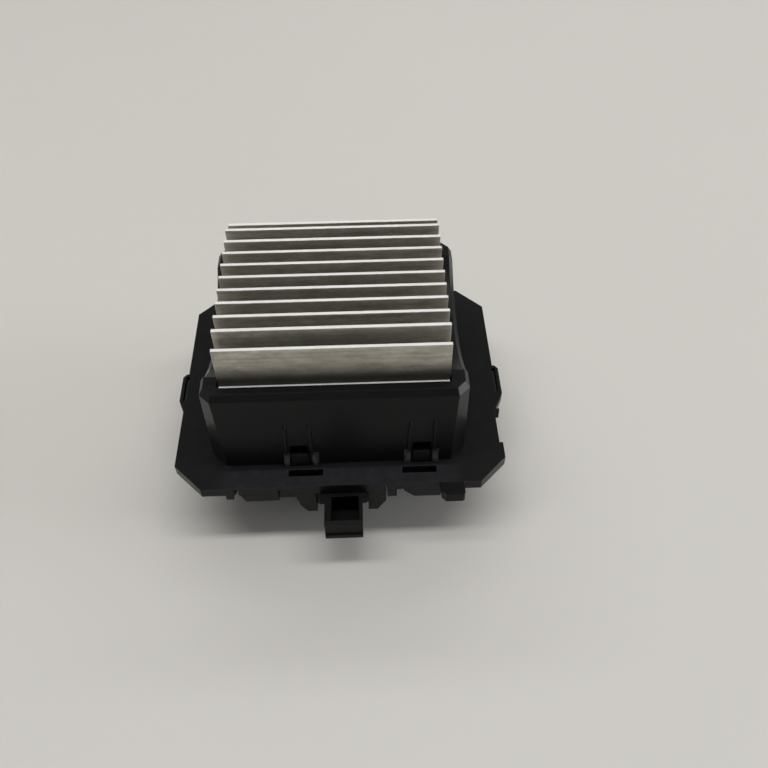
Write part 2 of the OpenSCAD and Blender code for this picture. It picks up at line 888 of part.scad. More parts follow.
module latch() {
    left = latch_center - head_width / 2;
    right = latch_center + head_width / 2;
    hollow_bottom = head_top - head_height + head_floor;
    difference() {
        union() {
            span([latch_center - latch_arm_width / 2, flange_front - latch_arm_reach,
                    head_top - latch_arm],
                [latch_center + latch_arm_width / 2, flange_front + cover_inset + cut, head_top]);
            translate([latch_center, 0, 0])
                x_prism(head_width)
                    polygon([
                        [head_back, head_top],
                        [head_front + head_wall, head_top],
                        [head_front, head_top - head_slope],
                        [head_front, head_top - pad_top],
                        [head_front + pad_depth, head_top - pad_top - pad_depth / 2],
                        [head_front + pad_depth, head_top - pad_bottom],
                        [head_front, head_top - pad_bottom - pad_depth],
                        [head_front, head_top - head_height + head_bevel],
                        [head_front + head_bevel, head_top - head_height],
                        [head_back, head_top - head_height]]);
        }
        translate([(left + head_wall_left + right - head_wall_right) / 2, 0, 0])
            x_prism(head_width - head_wall_left - head_wall_right)
                polygon([
                    [head_back - 1.4, head_top + cut], [head_back - 1.4, hollow_bottom],
                    [head_front + head_wall + pad_depth, hollow_bottom],
                    [head_front + head_wall + pad_depth, head_top - pad_top],
                    [head_front + head_wall, head_top],
                    [head_front + head_wall, head_top + cut]]);
    }
}

module shroud_block(x, y, z0, z1) {
    translate([0, shroud_y, z0])
        linear_extrude(height = z1 - z0)
            cut_corners(-x, x, -y, y, shroud_wall);
}

module skids() {
    for (s = [-1, 1])
        translate([s * skid_x, 0, 0])
            x_prism(skid_wall)
                polygon([
                    [-skid_front, floor_z + cut], [-skid_front, floor_z - cut],
                    [-skid_front + 3, -shroud_mouth], [skid_back - 3, -shroud_mouth],
                    [skid_back, floor_z - cut], [skid_back, floor_z + cut]]);
    // low ribs from the shroud to the skids
    for (s = [0, 1])
        mirror([s, 0, 0])
            for (y = [-3, 11])
                span([shroud_width / 2, y - rib_wall / 2, floor_z - 1.6],
                    [skid_x, y + rib_wall / 2, floor_z + cut]);
}

module terminal_slots() {
    for (x = blade_x)
        translate([x, shroud_y, 0])
            cube([blade_width + 2 * terminal_fit, terminal_thickness + 2 * terminal_fit, reach],
                center = true);
    for (x = pin_x)
        translate([x, shroud_y, 0])
            cube([pin_width + 2 * terminal_fit, terminal_thickness + 2 * terminal_fit, reach],
                center = true);
}

module cover() {
    color([0.09, 0.09, 0.1])
    difference() {
        union() {
            difference() {
                union() {
                    translate([0, 0, plate_z])
                        linear_extrude(height = cover_plate)
                            cover_outline();
                    tub_box(tub_x + tub_wall, tub_front, tub_back + tub_wall,
                        floor_z, plate_z + cut, tub_corner);
                    tub_box(upstand_x, upstand_y, upstand_y,
                        -flange_thickness - cut, upstand_height - flange_thickness, 1);
                    cover_gussets();
                }
                // inside of the tub and of the rim
                tub_box(tub_x, tub_inner_front, tub_back, floor_z + tub_floor, reach, 1);
                span([-tub_x, -tub_back, -flange_thickness], [tub_x, tub_back, reach]);
            }
            shroud_block(shroud_width / 2 + shroud_wall, shroud_depth / 2 + shroud_wall,
                -shroud_mouth, terminal_top);
            skids();
            clip_spots()
                snap_arm();
            tongue_plates();
            skirts();
            cheeks();
            latch();
        }
        // inside of the connector shroud, with its key ribs left standing
        difference() {
            span([-shroud_width / 2, shroud_y - shroud_depth / 2, -reach],
                [shroud_width / 2, shroud_y + shroud_depth / 2, terminal_bottom]);
            for (s = [-1, 1])
                translate([key_x, shroud_y + s * shroud_depth / 2, -reach / 2])
                    cube([key_size, 2 * key_size, 2 * reach], center = true);
        }
        intersection() {
            terminal_slots();
            span([-reach, -reach, terminal_bottom - cut], [reach, reach, reach]);
        }
        edge_notches();
    }
}

// Circuit board and what stands on it

module leg_spots() {
    for (s = [-1, 1], k = [-1, 0, 1])
        translate([s * case_offset + k * leg_pitch, -leg_y, 0])
            children();
}

module pcb() {
    color("darkgreen")
    difference() {
        translate([0, 0, board_bottom])
            linear_extrude(height = board_thickness)
                cut_corners(-board_x, board_x, -board_front, board_back, board_corner);
        post_spots()
            translate([0, 0, board_bottom - cut])
                cylinder(r = board_screw_radius + hole_fit,
                    h = board_thickness + 2 * cut, $fn = 32);
        leg_spots()
            cube([leg_width + 4 * terminal_fit, leg_depth + 4 * terminal_fit, reach],
                center = true);
        for (x = [blade_x[0], blade_x[1], pin_x[0], pin_x[1]])
            translate([x, shroud_y, 0])
                cube([tail_width + 4 * terminal_fit, terminal_thickness + 4 * terminal_fit,
                    reach], center = true);
    }
}

module pcb_screws() {
    color("gainsboro")
    post_spots()
        translate([0, 0, board_bottom])
            screw(board_screw_radius, board_thickness + post_depth - 0.6);
}

module transistor_frames() {
    color("lightgray")
    for (s = [-1, 1]) {
        difference() {
            span([s * case_offset - case_width / 2, -tab_front, case_bottom + 1],
                [s * case_offset + case_width / 2, -tab_back, tab_top]);
            translate([s * case_offset, 0, tab_top - 3])
                rotate([90, 0, 0])
                    cylinder(r = 1.8, h = reach, $fn = 32);
        }
        for (k = [-1, 0, 1])
            translate([s * case_offset + k * leg_pitch - leg_width / 2,
                -leg_y - leg_depth / 2, leg_bottom])
                cube([leg_width, leg_depth, case_bottom - leg_bottom]);
    }
}

module transistor_bodies() {
    color([0.12, 0.12, 0.13])
    for (s = [-1, 1])
        difference() {
            span([s * case_offset - case_width / 2, -case_front, case_bottom],
                [s * case_offset + case_width / 2, -case_back, case_bottom + case_height]);
            span([s * case_offset - case_width / 2 - cut, -tab_front, case_bottom + 1],
                [s * case_offset + case_width / 2 + cut, -tab_back + cut, tab_top]);
        }
}

module insulator_pads() {
    color("gray")
    for (s = [-1, 1])
        span([s * case_offset - case_width / 2, -tab_back, web_bottom],
            [s * case_offset + case_width / 2, -web_thickness / 2, tab_top]);
}

module clamp_spring() {
    web_y = web_thickness / 2;
    color("slategray")
    difference() {
        union() {
            x_prism(2 * clamp_half)
                polygon([
                    [-web_y, clamp_top_z],
                    [-web_y - spring_thickness, clamp_top_z],
                    [-web_y - spring_thickness, clamp_step_z + spring_thickness],
                    [-case_front - spring_thickness, clamp_step_z + spring_thickness],
                    [-case_front - spring_thickness, clamp_step_z],
                    [-web_y, clamp_step_z]]);
            span([-clamp_bar_half, -case_front - spring_thickness, clamp_bar_z],
                [clamp_bar_half, -case_front, clamp_step_z + spring_thickness]);
        }
        translate([0, 0, clamp_z])
            rotate([90, 0, 0])
                cylinder(r = sink_screw_radius + screw_fit + 0.1, h = reach, $fn = 32);
    }
}

module clamp_screw() {
    color("gainsboro")
    translate([0, -web_thickness / 2 - spring_thickness, clamp_z])
        rotate([-90, 0, 0])
            screw(sink_screw_radius, web_thickness + spring_thickness - 0.6);
}

module terminal(x, width) {
    half = width / 2;
    tail_top = board_top + 0.8;
    shoulder = terminal_top + shoulder_height;
    translate([x, shroud_y, 0])
        y_prism(terminal_thickness)
            polygon([
                [tip_bevel - half, -blade_tip], [half - tip_bevel, -blade_tip],
                [half, 2 * tip_bevel - blade_tip], [half, terminal_top],
                [half + 0.5, terminal_top], [half + 0.5, shoulder],
                [tail_width / 2, shoulder], [tail_width / 2, tail_top],
                [-tail_width / 2, tail_top], [-tail_width / 2, shoulder],
                [-half - 0.5, shoulder], [-half - 0.5, terminal_top],
                [-half, terminal_top], [-half, 2 * tip_bevel - blade_tip]]);
}

module power_blades() {
    color("khaki")
    for (x = blade_x)
        difference() {
            terminal(x, blade_width);
            translate([x, shroud_y, 4.5 - blade_tip])
                rotate([90, 0, 0])
                    cylinder(r = 0.85, h = 2 * terminal_thickness, center = true, $fn = 24);
        }
}

module signal_pins() {
    color("khaki")
    for (x = pin_x)
        terminal(x, pin_width);
}

module shunt() {
    inner = shunt_length - 4;
    color("darkgoldenrod")
    translate([-16, -13.5, board_top])
        difference() {
            translate([-shunt_length / 2, -shunt_width / 2, 0])
                cube([shunt_length, shunt_width, shunt_width]);
            translate([-inner / 2, -shunt_width / 2 - cut, -cut])
                cube([inner, shunt_width + 2 * cut, shunt_width - 0.6 + cut]);
        }
}

module capacitor_spot() {
    translate([14.5, 11, board_top])
        children();
}

module capacitor_base() {
    color([0.1, 0.1, 0.1])
    capacitor_spot()
        cylinder(r = capacitor_radius - 0.5, h = 1, $fn = 40);
}

module capacitor_can() {
    color("lightsteelblue")
    capacitor_spot()
        rotate_extrude($fn = 48)
            polygon([
                [0, 1], [capacitor_radius, 1], [capacitor_radius, 2.2],
                [capacitor_radius - 0.4, 2.6], [capacitor_radius, 3],
                [capacitor_radius, capacitor_height - 0.4],
                [capacitor_radius - 0.4, capacitor_height],
                [0, capacitor_height]]);
}

module thermal_fuse() {
    height = fuse_radius + 0.5;
    wire_x = fuse_length / 2 + 1.9;
    color("ivory")
    translate([-3, 10.5, board_top]) {
        translate([0, 0, height])
            rotate([0, 90, 0])
                cylinder(r = fuse_radius, h = fuse_length, center = true, $fn = 32);
        for (s = [-1, 1]) {
            translate([s * wire_x, 0, 0])
                cylinder(r = 0.4, h = height, $fn = 20);
            translate([s * (wire_x - 1), 0, height])
                rotate([0, 90, 0])
                    cylinder(r = 0.4, h = 2.8, center = true, $fn = 20);
        }
    }
}

module control_ic_body() {
    color([0.12, 0.12, 0.13])
    translate([-16, 10, board_top])
        translate([-4.3, -1.95, 0.15])
            cube([8.6, 3.9, 1.45]);
}

module control_ic_leads() {
    color("lightgray")
    translate([-16, 10, board_top])
        for (s = [0, 1], i = [-3 : 3])
            mirror([0, s, 0])
                translate([1.2 * i, 0, 0])
                    x_prism(0.42)
                        polygon([
                            [-1.95, 0.6], [-1.95, 0.8], [-2.5, 0.8], [-2.5, 0.2],
                            [-3, 0.2], [-3, 0], [-2.3, 0], [-2.3, 0.6]]);
}

module chip_resistors() {
    color([0.15, 0.15, 0.16])
    for (spot = [[-21, 3], [-21, -2], [-16.5, 3], [4, 16], [4, 19], [-3, 16]])
        translate([spot[0] - chip_length / 2, spot[1] - chip_length / 4, board_top])
            cube([chip_length, chip_length / 2, 0.6]);
}

module chip_capacitors() {
    color("peru")
    for (spot = [[-10, 17], [-16, 17], [18.5, 0], [12.5, -1.5]])
        translate([spot[0] - chip_length / 2, spot[1] - 0.39 * chip_length, board_top])
            cube([chip_length, 0.78 * chip_length, 1.7]);
}

module diode_body() {
    color([0.12, 0.12, 0.13])
    translate([15, -14, board_top])
        translate([-3.4, -3, 0.25])
            cube([6.8, 6, 2.2]);
}

module diode_leads() {
    color("lightgray")
    translate([15, -14, board_top])
        for (s = [0, 1])
            mirror([s, 0, 0])
                y_prism(3)
                    polygon([
                        [3.4, 1.1], [3.4, 1.35], [4.1, 1.35], [4.1, 0],
                        [2.6, 0], [2.6, 0.25], [3.85, 0.25], [3.85, 1.1]]);
}

frame();
heatsink();
heatsink_seal();
heatsink_screws();
cover();
pcb();
pcb_screws();
transistor_frames();
transistor_bodies();
insulator_pads();
clamp_spring();
clamp_screw();
power_blades();
signal_pins();
shunt();
capacitor_can();
capacitor_base();
thermal_fuse();
control_ic_body();
control_ic_leads();
chip_resistors();
chip_capacitors();
diode_body();
diode_leads();
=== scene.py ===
# Blower motor resistor: aluminium fins in a tall black collar, a flange below it, and the
# cover with its latch and connector under that. Everything is in metres, +Z to the fin tips.
import json
import math

import bmesh
import bpy
from mathutils import Matrix, Vector


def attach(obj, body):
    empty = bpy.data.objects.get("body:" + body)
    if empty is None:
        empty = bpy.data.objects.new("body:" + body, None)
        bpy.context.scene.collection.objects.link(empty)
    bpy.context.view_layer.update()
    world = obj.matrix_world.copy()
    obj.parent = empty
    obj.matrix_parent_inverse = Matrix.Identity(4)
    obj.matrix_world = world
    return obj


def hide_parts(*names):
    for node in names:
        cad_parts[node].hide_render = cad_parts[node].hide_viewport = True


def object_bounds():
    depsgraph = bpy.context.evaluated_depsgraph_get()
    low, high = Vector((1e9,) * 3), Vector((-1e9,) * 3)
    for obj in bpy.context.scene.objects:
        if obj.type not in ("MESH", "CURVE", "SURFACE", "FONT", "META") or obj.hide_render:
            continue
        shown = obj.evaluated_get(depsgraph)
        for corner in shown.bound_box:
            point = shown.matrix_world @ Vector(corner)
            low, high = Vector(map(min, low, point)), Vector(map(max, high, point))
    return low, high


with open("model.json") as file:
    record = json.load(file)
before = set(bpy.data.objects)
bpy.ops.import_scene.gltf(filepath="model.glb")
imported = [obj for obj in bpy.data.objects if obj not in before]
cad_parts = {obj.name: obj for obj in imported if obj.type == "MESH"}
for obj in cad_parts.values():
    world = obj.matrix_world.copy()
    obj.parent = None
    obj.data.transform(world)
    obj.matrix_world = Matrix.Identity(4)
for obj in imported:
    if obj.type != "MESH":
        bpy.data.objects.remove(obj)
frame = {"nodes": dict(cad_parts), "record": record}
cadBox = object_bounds()
mm = 0.001
weld = 0.002 * mm   # points nearer than this become one


def grey(level):
    return (level, level, level)


class Wire:
    # wraps one socket, so that sums on it add Math nodes
    def __init__(self, graph, socket):
        self.graph = graph
        self.socket = socket

    def __add__(self, other):
        return self.graph.math("ADD", self, other)

    def __sub__(self, other):
        return self.graph.math("SUBTRACT", self, other)

    def __rsub__(self, other):
        return self.graph.math("SUBTRACT", other, self)

    def __mul__(self, other):
        return self.graph.math("MULTIPLY", self, other)

    def __abs__(self):
        return self.graph.math("ABSOLUTE", self, 0)

    __radd__ = __add__
    __rmul__ = __mul__


class Graph:
    # a shader tree whose nodes all come from add()
    def __init__(self, tree, place):
        self.tree = tree
        self.place = self.add("TexCoord", out=place)

    def feed(self, socket, value):
        if isinstance(value, Wire):
            self.tree.links.new(value.socket, socket)
        elif isinstance(value, tuple) and len(value) == 3 and socket.type == "RGBA":
            socket.default_value = (*value, 1)
        else:
            socket.default_value = value

    def add(self, kind, settings=None, sockets=None, out=0):
        node = self.tree.nodes.new("ShaderNode" + kind)
        for key, value in (settings or {}).items():
            if key == "stops":
                self.setStops(node.color_ramp, value)
            else:
                setattr(node, key, value)
        for key, value in (sockets or {}).items():
            self.feed(node.inputs[key], value)
        return Wire(self, node.outputs[out])

    def setStops(self, ramp, stops):
        while len(ramp.elements) < len(stops):
            ramp.elements.new(0.5)
        for element, (at, level) in zip(ramp.elements, stops):
            element.position = at
            element.color = (*grey(level), 1)

    def math(self, operation, a, b):
        return self.add("Math", {"operation": operation}, {0: a, 1: b})

    def clamp(self, value):
        return self.add("Clamp", None, {"Value": value})

    def blend(self, mask, low, high):
        return self.add("Mix", {"data_type": "RGBA"}, {0: mask, 6: low, 7: high}, out=2)

    def ramp(self, value, *stops):
        return self.add("ValToRGB", {"stops": stops}, {"Fac": value})

    def part(self, vector, axis):
        return self.add("SeparateXYZ", None, {0: vector}, out=axis)

    def mapped(self, scale=(1, 1, 1), move=(0, 0, 0)):
        return self.add("Mapping", None, {"Vector": self.place, "Scale": scale, "Location": move})

    def noise(self, scale, detail, roughness, stretch=(1, 1, 1), move=(0, 0, 0)):
        return self.add("TexNoise", None, {"Vector": self.mapped(stretch, move), "Scale": scale,
                                           "Detail": detail, "Roughness": roughness}, out="Fac")

    def cells(self, scale, move):
        return self.add("TexVoronoi", None,
                        {"Vector": self.mapped(move=move), "Scale": scale}, out="Distance")


class Finish(Graph):
    # one material: a Principled shader, and what is drawn on it
    def __init__(self, name, **fixed):
        self.material = bpy.data.materials.new(name)
        self.material.use_nodes = True
        super().__init__(self.material.node_tree, "Object")
        self.shader = self.tree.nodes["Principled BSDF"]
        for socket, value in fixed.items():
            self.shader.inputs[socket.replace("_", " ")].default_value = value

    def spot(self):
        # where the shaded point lies on the part: x, y, z
        return [self.part(self.place, axis) for axis in "XYZ"]

    def facing(self, axis):
        return self.part(self.add("NewGeometry", out="Normal"), axis)

    def inside(self, room, steep):
        # 1 where there is room to a border and 0 beyond it; steep is the rise per mm
        return self.clamp(room * (steep / mm))

    def wear(self, reach):
        # 1 along edges, 0 on flats: a rounded normal leans there from the true one
        soft = self.add("Bevel", {"samples": 4}, {"Radius": reach})
        true = self.add("NewGeometry", out="Normal")
        agree = self.add("VectorMath", {"operation": "DOT_PRODUCT"}, {0: soft, 1: true},
                         out="Value")
        return self.clamp((1 - agree) * 9)

    def bump(self, height, depth, strength):
        return self.add("Bump", None, {"Height": height, "Distance": depth, "Strength": strength},
                        out="Normal")

    def done(self, **fed):
        for socket, value in fed.items():
            self.feed(self.shader.inputs[socket.replace("_", " ")], value)
        return self.material


clips = {
    "middle": 5.65 * mm,    # halfway between the two clips
    "apart": 14.95 * mm,    # from there to each clip
    "guide": 3.55 * mm,     # from a clip's middle to its two guides
    "guideHalf": 0.85 * mm,
    "top": 4.5 * mm,
    "front": -28.1 * mm,    # the wall's face at the flange
    "lean": 0.07,           # how far the wall leans back per height
    "armsFrom": -2.8 * mm,  # the cover's arms stand above this
}


def clipGuideSheen(finish):
    # 1 on the guides beside the clips, which get a painted reflection in light grey
    x, y, z = finish.spot()
    beside = abs(abs(abs(x - clips["middle"]) - clips["apart"]) - clips["guide"])
    inBand = finish.inside(clips["guideHalf"] - beside, 8)
    inFront = finish.inside(clips["front"] + z * clips["lean"] - y, 8)
    inHeight = finish.inside(clips["top"] - z, 4) * finish.inside(z, 4)
    return inBand * inFront * inHeight


def coverArms(finish):
    # 1 on the cover's arms, which stand between the guides above its plate; they get painted fill
    # light
    return finish.inside(finish.part(finish.place, "Z") - clips["armsFrom"], 2)


flange = {
    "front": -35.2 * mm,
    # skin, sheenFront, sheenBack and sheenEnd bound the painted blue-grey sheen on the flange's
    # top face
    "skin": 0.4 * mm,              # the bloom keeps to the top face, this far from level 0
    "sheenFront": -35.1 * mm,
    "sheenBack": -29.5 * mm,
    "sheenEnd": 31 * mm,
    "slotsIn": (35 * mm, 33.5 * mm),   # the slots lie within this from the middle
    "slotsUnder": -0.3 * mm,
}


def frontSheen(finish):
    # 1 on the flange's strip before the front wall, which gets a painted blue-grey sheen
    x, y, z = finish.spot()
    onTop = finish.inside(flange["skin"] - abs(z), 8)
    behindEdge = finish.inside(y - flange["sheenFront"], 8)
    beforeWall = finish.inside(flange["sheenBack"] - y, 1.5)
    betweenEnds = finish.inside(flange["sheenEnd"] - abs(x), 0.2)
    return onTop * behindEdge * beforeWall * betweenEnds


def flangeSlots(finish):
    # 1 inside the flange, where only the walls of its slots show; they get painted fill light
    x, y, z = finish.spot()
    halfX, halfY = flange["slotsIn"]
    inward = finish.inside(halfX - abs(x), 4) * finish.inside(halfY - abs(y), 4)
    return inward * finish.inside(flange["slotsUnder"] - z, 4)


latch = {
    "middle": 1.2 * mm,
    "pocketHalf": 3.55 * mm,
    "pocketFront": -43 * mm,
}


def latchHead(finish):
    # 1 on what stands before the flange, which is rougher and painted darker as shade, and 1 in
    # the latch's pocket
    x, y, _ = finish.spot()
    ahead = finish.inside(flange["front"] - y, 4)
    across = finish.inside(latch["pocketHalf"] - abs(x - latch["middle"]), 8)
    return ahead, ahead * across * finish.inside(y - latch["pocketFront"], 8)


plastic = {
    "frame": (0.0061, 0.0062, 0.0071),
    "cover": (0.0052, 0.0053, 0.0062),
    "darker": 0.7,                     # the tint's clouds run between these
    "lighter": 1.4,
    "haze": (0.08, 0.08, 0.085),
    "rubbed": grey(0.009),
    # painted reflection on the guides beside the clips
    "guides": grey(0.066),
    # painted blue-grey sheen on the flange's strip before the front wall
    "bloomAndSheen": (0.022, 0.022, 0.026),
    # painted shade on what stands before the flange: the latch head, its pocket and the lug
    "ahead": grey(0.001),
    # painted fill light that lifts the slot walls and the clip arms above the black of full shade
    "paintedFill": (0.018, 0.018, 0.019),   # the walls of the slots, and the arms in the clips
    "dust": (0.26, 0.25, 0.24),
    # painted highlight on the rim's corner facets
    "corner": grey(0.075),
    "edge": 0.25 * mm,                 # how far wear reaches in from an edge
}


def glassFilledBlack(name, tint, seed, armed=False):
    # moulded black plastic: fine grain, faint flow streaks, dust in the open, rubbed edges;
    # painted reflection on the clip guides, painted sheen on the flange strip, painted highlights
    # on the rim's corner facets, painted shade before the flange, and painted fill light in the
    # slots and arms
    finish = Finish(name, IOR=1.45, Specular_IOR_Level=0.178, Coat_IOR=1.5, Coat_Roughness=0.12)
    cloud = finish.noise(55, 3, 0.55, move=(seed, 0, 0))
    streak = finish.noise(190, 3, 0.6, stretch=(0.35, 1, 1), move=(0, seed, 0))
    grain = finish.noise(5200, 2, 0.6)
    pits = finish.noise(1700, 3, 0.65, move=(0, 0, seed))
    specks = finish.ramp(finish.cells(620, move=(seed, seed, 0)), (0.03, 1), (0.06, 0))
    kept = finish.ramp(finish.noise(140, 2, 0.5, move=(seed, 0, seed)), (0.54, 0), (0.64, 1))
    toX, toY, toZ = (finish.facing(axis) for axis in "XYZ")
    upward = finish.clamp(toZ * 1.4 - 0.3)
    dust = finish.clamp(specks * kept * upward)
    haze = finish.ramp(finish.noise(320, 4, 0.7), (0.45, 0), (0.75, 1)) * upward
    ahead, pocket = latchHead(finish)
    rubbed = finish.wear(plastic["edge"]) * finish.ramp(pits, (0.35, 0.3), (0.6, 1)) * (1 - ahead)
    # the rim's corner facets at the front right and rear left, painted lighter as a highlight and
    # glossed by a coat
    corner = finish.clamp(toX * toY * toZ * -20 - 2.5)
    layers = {
        "haze": haze * 0.03,
        "rubbed": rubbed * 0.5,
        "guides": clipGuideSheen(finish) * (0.7 + pits * 0.6),
        "bloomAndSheen": frontSheen(finish) * (0.6 + haze * 0.6),
        "ahead": ahead * 0.9,
        "paintedFill": coverArms(finish) if armed else flangeSlots(finish),
        "dust": dust * 0.35,
        "corner": corner * (0.6 + pits * 0.8),
    }
    colour = finish.blend(cloud, tuple(c * plastic["darker"] for c in tint),
                          tuple(c * plastic["lighter"] for c in tint))
    for paint, mask in layers.items():
        colour = finish.blend(mask, colour, plastic[paint])
    rough = (0.31 + cloud * 0.08 + streak * 0.08 + dust * 0.3 + rubbed * 0.3
             + ahead * 0.12 - pocket * 0.12)
    skin = finish.bump(grain * 0.6 + pits * 0.4, 0.05 * mm, 0.36)
    # a thin gloss on the upright corner chamfers and on faces that lean a little
    diagonal = finish.clamp(abs(toX * toY) * 12 - 4.8)
    sloped = finish.ramp(toZ, (0.14, 0), (0.18, 1), (0.34, 1), (0.40, 0))
    return finish.done(Base_Color=colour, Roughness=rough, Normal=skin,
                       Coat_Weight=finish.clamp(diagonal * 0.16 + sloped * 0.5 + corner))


aluminium = {
    "dull": (0.42, 0.396, 0.335),
    "bright": (0.84, 0.805, 0.715),
    "stained": (0.46, 0.43, 0.36),
    # painted shade and reflection of the black collar, laid on the fins' foot by footShade
    "foot": (0.026, 0.025, 0.023),
    "sawn": (0.70, 0.69, 0.66),
    # tipDull, tipBright and lip are painted highlights that make the fin tips and lips near white
    "tipDull": (0.75, 0.745, 0.73),
    "tipBright": (0.90, 0.895, 0.88),
    "lip": (0.97, 0.965, 0.95),
    "lipFace": 22.75 * mm,   # the lips stand out beyond this
    "rampTop": 50 * mm,      # the foot's ramp of shade runs up to here
    "footShade": ((26.2, 1), (27.3, 0.86), (29, 0.45), (31, 0.15), (33.5, 0)),   # by mm
}


def drawnAluminium(name):
    # extruded fins: lines run along X, faces dull and warm; painted shade and reflection of the
    # black collar darken the foot, painted highlights whiten the tips and lips
    finish = Finish(name, Anisotropic=0.85, Anisotropic_Rotation=0.25)
    lines = finish.noise(1100, 5, 0.75, stretch=(0.02, 1, 1))
    broad = finish.noise(420, 3, 0.6, stretch=(0.05, 1, 1), move=(0.3, 0, 0))
    mottle = finish.noise(520, 5, 0.75, stretch=(0.4, 1, 1), move=(0, 0.7, 0.3))
    stain = finish.noise(95, 4, 0.65, stretch=(0.45, 1, 1), move=(0.1, 0.2, 0))
    nicks = finish.noise(300, 2, 0.6, move=(0, 0.4, 0))
    sawn = finish.noise(2500, 2, 0.6, stretch=(1, 0.05, 1))
    _, y, z = finish.spot()
    end = finish.clamp(abs(finish.facing("X")) * 4 - 3)
    top = finish.clamp(finish.facing("Z") * 6 - 5)
    lip = finish.inside(abs(y) - aluminium["lipFace"], 9)
    shade = [(height * mm / aluminium["rampTop"], level)
             for height, level in aluminium["footShade"]]
    # painted shade and reflection: the fins darken towards their foot, but not on tips and lips
    foot = finish.ramp(z * (1 / aluminium["rampTop"]), *shade) * (1 - top) * (1 - lip)
    drawn = finish.ramp(lines * 0.3 + broad * 0.3 + mottle * 0.4, (0.40, 0), (0.60, 1))
    stained = finish.ramp(stain, (0.40, 0.35), (0.62, 0))
    # painted highlights on the fin tips, near white and varied by nicks
    tipHighlights = finish.blend(nicks, aluminium["tipDull"], aluminium["tipBright"])
    colour = finish.blend(drawn, aluminium["dull"], aluminium["bright"])
    for mask, paint in ((stained, aluminium["stained"]), (foot * 0.93, aluminium["foot"]),
                        (end * 0.6, aluminium["sawn"]),
                        (top, finish.blend(lip, tipHighlights, aluminium["lip"]))):
        colour = finish.blend(mask, colour, paint)
    rough = 0.38 + lines * 0.10 + stain * 0.06 + top * 0.22
    metal = 0.62 + broad * 0.2 - top * 0.62
    height = lines * (1 - end) + sawn * end
    return finish.done(Base_Color=colour, Roughness=rough, Metallic=finish.clamp(metal),
                       Normal=finish.bump(height, 0.03 * mm, 0.5))


def plainMetal(name, dark, light, rough, lineScale=1800, lineStretch=(1, 1, 0.04)):
    finish = Finish(name, Metallic=1.0)
    lines = finish.noise(lineScale, 3, 0.65, stretch=lineStretch)
    bloomAndSheen = finish.noise(260, 3, 0.55)
    return finish.done(Base_Color=finish.blend(bloomAndSheen * 0.7 + lines * 0.3, dark, light),
                       Roughness=rough + lines * 0.12 + bloomAndSheen * 0.1,
                       Normal=finish.bump(lines, 0.02 * mm, 0.4))


def plainSkin(name, dark, light, rough, coat=0.0):
    finish = Finish(name, Coat_Weight=coat)
    cloud = finish.noise(180, 3, 0.6)
    grain = finish.noise(3000, 3, 0.65)
    return finish.done(Base_Color=finish.blend(cloud * 0.6 + grain * 0.4, dark, light),
                       Roughness=rough + cloud * 0.12,
                       Normal=finish.bump(grain, 0.03 * mm, 0.5))


def solderMask(name):
    # green board with straight copper runs under the mask
    finish = Finish(name, Coat_Weight=0.3, Coat_Roughness=0.15)
    bricks = finish.add("TexBrick", {"offset": 0.37, "squash": 1.6},
                        {"Vector": finish.place, "Scale": 260, "Mortar Size": 0.07,
                         "Color1": grey(0.0), "Color2": grey(0.25), "Mortar": grey(1.0)},
                        out="Color")
    weave = finish.noise(2400, 2, 0.5)
    runs = finish.ramp(bricks, (0.3, 0), (0.6, 1))
    colour = finish.blend(runs * 0.7 + weave * 0.15, (0.010, 0.055, 0.022), (0.030, 0.150, 0.055))
    return finish.done(Base_Color=colour, Roughness=0.30 + weave * 0.15,
                       Normal=finish.bump(runs + weave * 0.2, 0.03 * mm, 0.6))


finishes = {
    "frame_plastic": glassFilledBlack("frameBlack", plastic["frame"], 0.0),
    "cover_plastic": glassFilledBlack("coverBlack", plastic["cover"], 0.7, armed=True),
    "drawn_aluminium": drawnAluminium("finMetal"),
    "seal_rubber": plainSkin("sealRubber", grey(0.010), grey(0.022), 0.62),
    "screw_steel": plainMetal("zincSteel", (0.52, 0.52, 0.48), (0.70, 0.71, 0.70), 0.24),
    "spring_steel": plainMetal("springSteel", (0.14, 0.145, 0.16), (0.26, 0.27, 0.29), 0.28),
    "board": solderMask("greenBoard"),
    "tinned_metal": plainMetal("tinPlate", (0.60, 0.58, 0.53), (0.76, 0.75, 0.72), 0.20),
    "moulded_case": plainSkin("epoxyCase", (0.012, 0.012, 0.013), (0.024, 0.024, 0.025), 0.50),
    "thermal_pad": plainSkin("siliconePad", (0.13, 0.13, 0.14), (0.20, 0.20, 0.21), 0.60),
    "shunt_metal": plainMetal("shuntAlloy", (0.36, 0.22, 0.12), (0.52, 0.36, 0.22), 0.30),
    "can_metal": plainMetal("canMetal", (0.52, 0.54, 0.57), (0.66, 0.68, 0.71), 0.22,
                            lineScale=900, lineStretch=(1, 1, 0.2)),
    "chip_black": plainSkin("resistorGlaze", (0.012, 0.012, 0.014), (0.03, 0.03, 0.034), 0.22,
                            coat=0.4),
    "chip_brown": plainSkin("capacitorCeramic", (0.20, 0.12, 0.055), (0.30, 0.19, 0.095), 0.38),
    "fuse_case": plainSkin("fuseCeramic", (0.50, 0.46, 0.38), (0.62, 0.58, 0.50), 0.30,
                           coat=0.2),
}
print("finishes made:", len(finishes))


def newObject(name, data):
    thing = bpy.data.objects.new(name, data)
    bpy.context.scene.collection.objects.link(thing)
    return thing


def meshFrom(name, work):
    mesh = bpy.data.meshes.new(name)
    work.to_mesh(mesh)
    work.free()
    return mesh


def settled(thing):
    # the evaluated shape as a plain mesh, with no modifier left
    bpy.context.view_layer.update()
    graph = bpy.context.evaluated_depsgraph_get()
    mesh = bpy.data.meshes.new_from_object(thing.evaluated_get(graph), depsgraph=graph)
    thing.modifiers.clear()
    thing.data = mesh
    return thing


